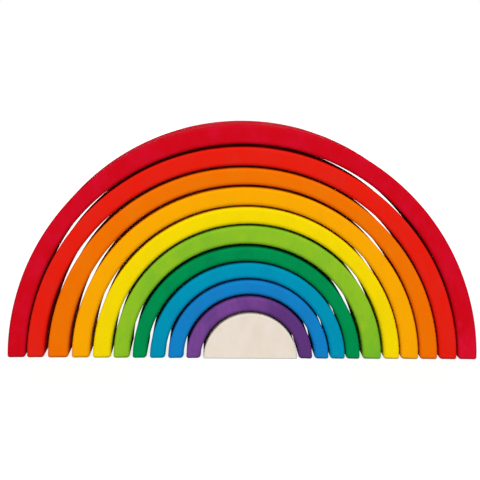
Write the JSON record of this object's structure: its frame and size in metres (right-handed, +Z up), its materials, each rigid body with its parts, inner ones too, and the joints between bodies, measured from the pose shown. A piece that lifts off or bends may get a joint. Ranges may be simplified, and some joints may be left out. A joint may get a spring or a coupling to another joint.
{
  "type": "rainbow stacker",
  "caption": "Nesting set of loose stained-wood arches around a bare half disc. Each piece draws out of the nest to be stacked, balanced or built with.",
  "frame": {"origin": "on the floor, under the middle of the crimson arch, halfway through the depth", "axes": "+X to the right along the width of the nest as the picture shows it, +Y from the front face to the back, along the arches' shared axis, +Z up"},
  "size_m": [0.3624, 0.07, 0.18],
  "materials": {
    "crimson_stain": "satin",
    "red_stain": "satin",
    "orange_stain": "satin",
    "amber_stain": "satin",
    "yellow_stain": "satin",
    "lime_stain": "satin",
    "green_stain": "satin",
    "teal_stain": "satin",
    "blue_stain": "satin",
    "purple_stain": "satin",
    "bare_wood": "matte"
  },
  "bodies": {
    "crimson_arch": {"crimson_arch": "crimson_stain"},
    "red_arch": {"red_arch": "red_stain"},
    "orange_arch": {"orange_arch": "orange_stain"},
    "amber_arch": {"amber_arch": "amber_stain"},
    "yellow_arch": {"yellow_arch": "yellow_stain"},
    "lime_arch": {"lime_arch": "lime_stain"},
    "green_arch": {"green_arch": "green_stain"},
    "teal_arch": {"teal_arch": "teal_stain"},
    "blue_arch": {"blue_arch": "blue_stain"},
    "purple_arch": {"purple_arch": "purple_stain"},
    "half_disc": {"half_disc": "bare_wood"}
  },
  "joints": [
    {"name": "red_arch_draw", "type": "slide", "parent": "crimson_arch", "child": "red_arch", "axis": [0, 1, 0], "range_m": [-0.07, 0.07]},
    {"name": "orange_arch_draw", "type": "slide", "parent": "crimson_arch", "child": "orange_arch", "axis": [0, 1, 0], "range_m": [-0.07, 0.07]},
    {"name": "amber_arch_draw", "type": "slide", "parent": "crimson_arch", "child": "amber_arch", "axis": [0, 1, 0], "range_m": [-0.07, 0.07]},
    {"name": "yellow_arch_draw", "type": "slide", "parent": "crimson_arch", "child": "yellow_arch", "axis": [0, 1, 0], "range_m": [-0.07, 0.07]},
    {"name": "lime_arch_draw", "type": "slide", "parent": "crimson_arch", "child": "lime_arch", "axis": [0, 1, 0], "range_m": [-0.07, 0.07]},
    {"name": "green_arch_draw", "type": "slide", "parent": "crimson_arch", "child": "green_arch", "axis": [0, 1, 0], "range_m": [-0.07, 0.07]},
    {"name": "teal_arch_draw", "type": "slide", "parent": "crimson_arch", "child": "teal_arch", "axis": [0, 1, 0], "range_m": [-0.07, 0.07]},
    {"name": "blue_arch_draw", "type": "slide", "parent": "crimson_arch", "child": "blue_arch", "axis": [0, 1, 0], "range_m": [-0.07, 0.07]},
    {"name": "purple_arch_draw", "type": "slide", "parent": "crimson_arch", "child": "purple_arch", "axis": [0, 1, 0], "range_m": [-0.07, 0.07]},
    {"name": "half_disc_draw", "type": "slide", "parent": "crimson_arch", "child": "half_disc", "axis": [0, 1, 0], "range_m": [-0.07, 0.07]}
  ]
}
